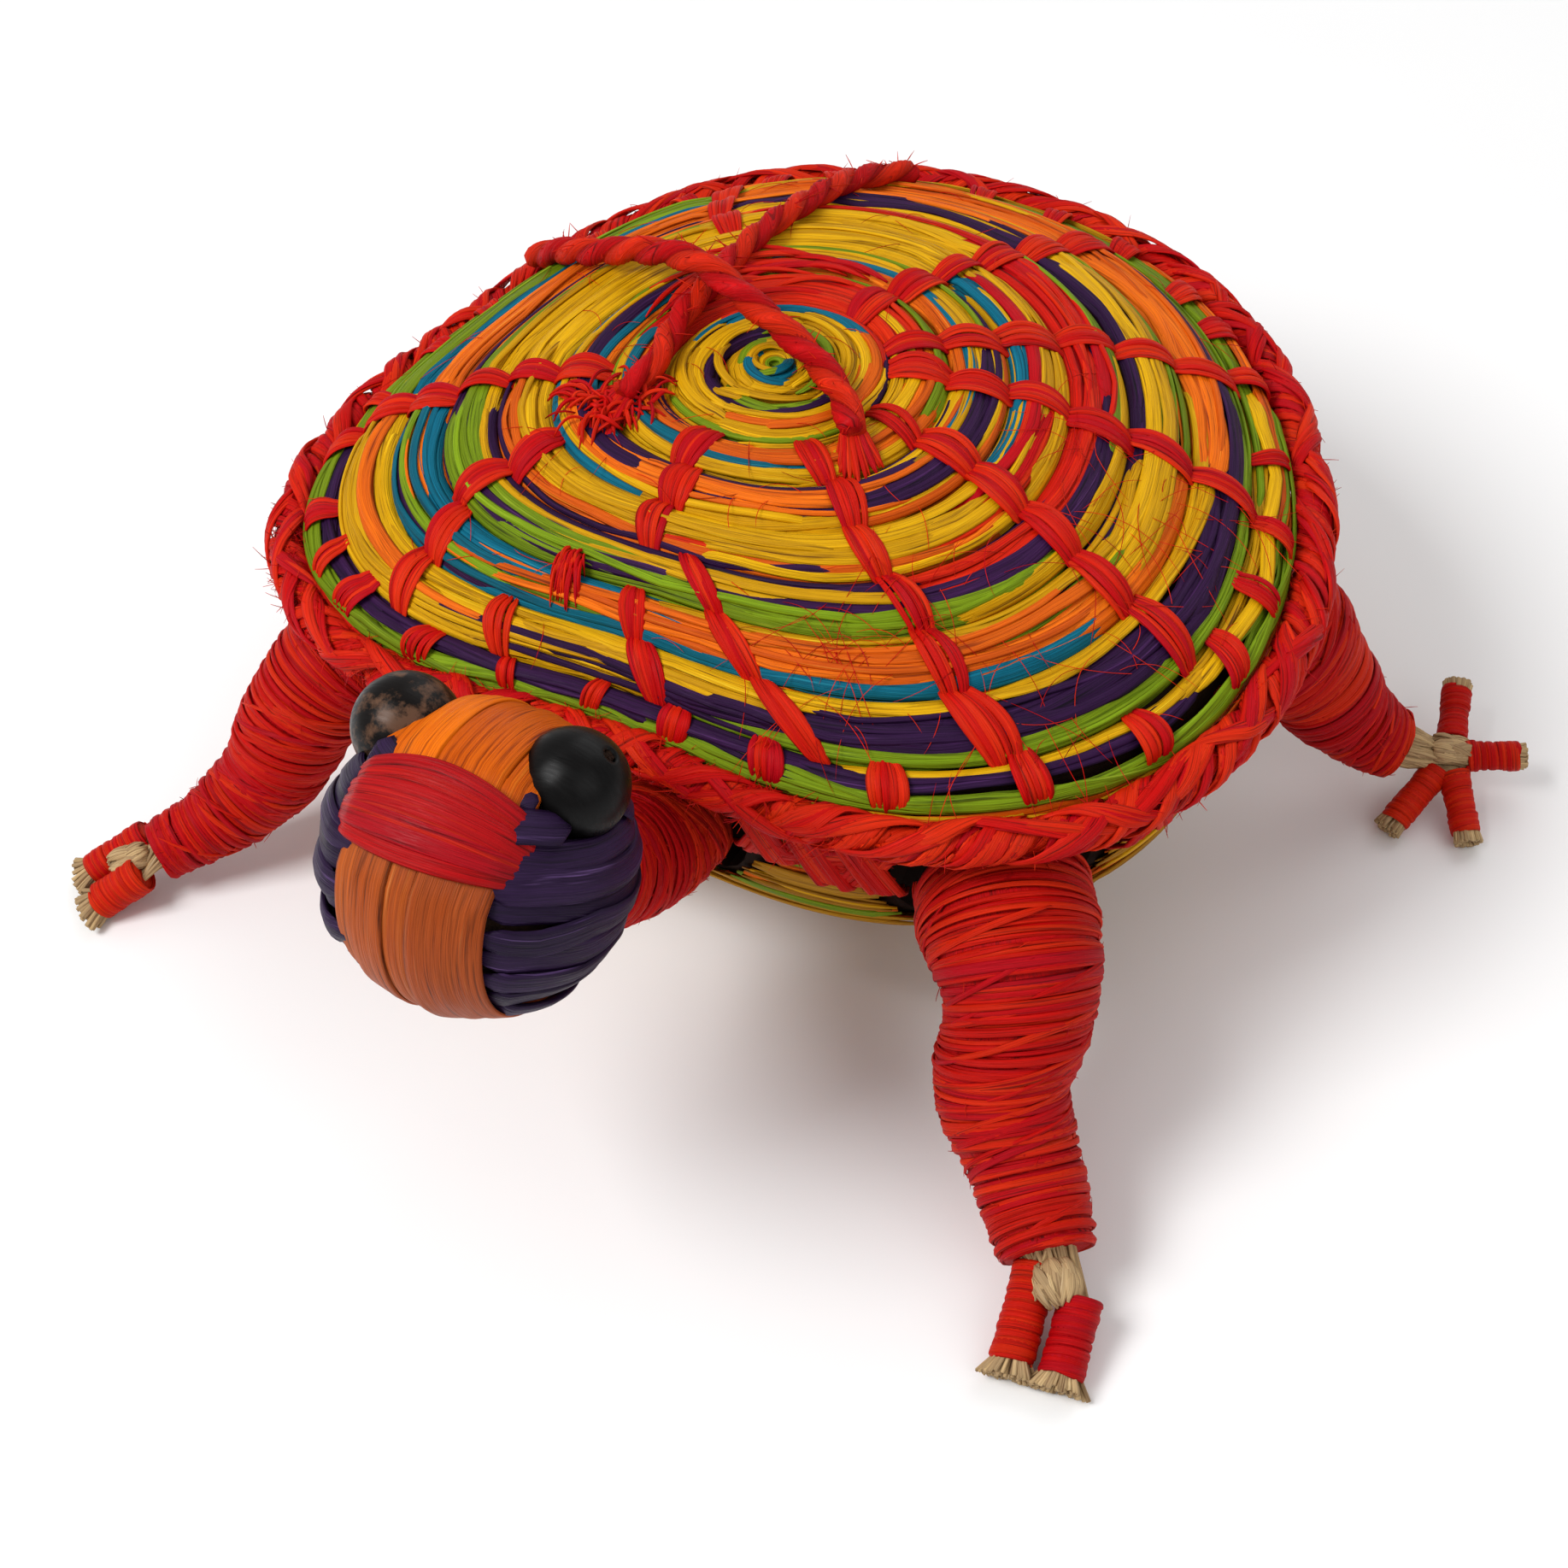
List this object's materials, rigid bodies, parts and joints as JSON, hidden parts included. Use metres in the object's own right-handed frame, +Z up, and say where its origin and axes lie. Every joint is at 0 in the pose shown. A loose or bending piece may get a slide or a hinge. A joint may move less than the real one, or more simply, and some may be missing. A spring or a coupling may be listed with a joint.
{
  "type": "coiled fibre turtle figure",
  "caption": "Turtle figure of coiled and sewn dyed palm fibre, with wrapped bendable legs and neck, a banded head and seed eyes.",
  "frame": {"origin": "on the floor under the middle of the figure's bounding box", "axes": "+Z up, the turtle looks along -Y and its left side is towards +X"},
  "size_m": [0.1986, 0.1858, 0.084],
  "materials": {
    "coil_fibre": "dyed palm fibre strands, satin",
    "belly_fibre": "dyed palm fibre strands, satin",
    "natural_fibre": "undyed palm fibre, matt",
    "red_cord": "dyed palm fibre cord, matt",
    "red_wrap": "dyed palm fibre wrapping, matt",
    "orange_strip": "dyed palm leaf strip, satin",
    "red_strip": "dyed palm leaf strip, satin",
    "purple_strip": "dyed palm leaf strip, satin",
    "seed": "polished black seed"
  },
  "bodies": {
    "shell": {"carapace_coil": "coil_fibre", "carapace_stitch_01": "red_cord", "carapace_stitch_02": "red_cord", "carapace_stitch_03": "red_cord", "carapace_stitch_04": "red_cord", "carapace_stitch_05": "red_cord", "carapace_stitch_06": "red_cord", "carapace_stitch_07": "red_cord", "carapace_stitch_08": "red_cord", "carapace_stitch_09": "red_cord", "carapace_stitch_10": "red_cord", "carapace_stitch_11": "red_cord", "carapace_stitch_12": "red_cord", "rim_cord": "red_cord", "belly_coil": "belly_fibre", "belly_stitch_1": "red_cord", "belly_stitch_2": "red_cord", "belly_stitch_3": "red_cord", "belly_stitch_4": "red_cord", "side_lacing_front_left": "red_cord", "side_lacing_front_right": "red_cord", "side_lacing_left": "red_cord", "side_lacing_right": "red_cord", "side_lacing_rear": "red_cord", "top_cord_long": "red_cord", "top_cord_short": "red_cord"},
    "neck": {"neck_core": "natural_fibre", "neck_wrap": "red_wrap"},
    "head": {"head_core": "natural_fibre", "crown_band": "orange_strip", "nose_band": "red_strip", "chin_band": "orange_strip", "cheek_band_left": "purple_strip", "cheek_band_right": "purple_strip", "eye_left": "seed", "eye_right": "seed", "eye_tie_left": "natural_fibre", "eye_tie_right": "natural_fibre"},
    "leg_front_left": {"leg_core_front_left": "natural_fibre", "leg_wrap_front_left": "red_wrap", "toe_wrap_front_left_1": "red_wrap", "toe_wrap_front_left_2": "red_wrap"},
    "leg_front_right": {"leg_core_front_right": "natural_fibre", "leg_wrap_front_right": "red_wrap", "toe_wrap_front_right_1": "red_wrap", "toe_wrap_front_right_2": "red_wrap"},
    "leg_hind_left": {"leg_core_hind_left": "natural_fibre", "leg_wrap_hind_left": "red_wrap", "toe_wrap_hind_left_1": "red_wrap", "toe_wrap_hind_left_2": "red_wrap", "toe_wrap_hind_left_3": "red_wrap", "toe_wrap_hind_left_4": "red_wrap"},
    "leg_hind_right": {"leg_core_hind_right": "natural_fibre", "leg_wrap_hind_right": "red_wrap", "toe_wrap_hind_right_1": "red_wrap", "toe_wrap_hind_right_2": "red_wrap", "toe_wrap_hind_right_3": "red_wrap", "toe_wrap_hind_right_4": "red_wrap"}
  },
  "joints": [
    {"name": "hip_front_left", "type": "hinge", "parent": "shell", "child": "leg_front_left", "pos_m": [0.045, -0.02494, 0.0365], "axis": [-0.8575, -0.5145, 0], "range_deg": [-12, 8]},
    {"name": "hip_front_right", "type": "hinge", "parent": "shell", "child": "leg_front_right", "pos_m": [-0.05, -0.01744, 0.0365], "axis": [-0.7474, 0.6644, 0], "range_deg": [-12, 8]},
    {"name": "hip_hind_left", "type": "hinge", "parent": "shell", "child": "leg_hind_left", "pos_m": [0.052, 0.03046, 0.036], "axis": [0.3523, -0.9359, 0], "range_deg": [-12, 8]},
    {"name": "hip_hind_right", "type": "hinge", "parent": "shell", "child": "leg_hind_right", "pos_m": [-0.052, 0.02846, 0.036], "axis": [0.3523, 0.9359, 0], "range_deg": [-12, 8]},
    {"name": "neck_nod", "type": "hinge", "parent": "shell", "child": "neck", "pos_m": [0.003, -0.02994, 0.036], "axis": [-0.9965, 0.083, 0], "range_deg": [-8, 6]},
    {"name": "head_turn", "type": "hinge", "parent": "neck", "child": "head", "pos_m": [-0.0006, -0.07394, 0.065], "axis": [0, 0, 1], "range_deg": [-15, 15]}
  ]
}
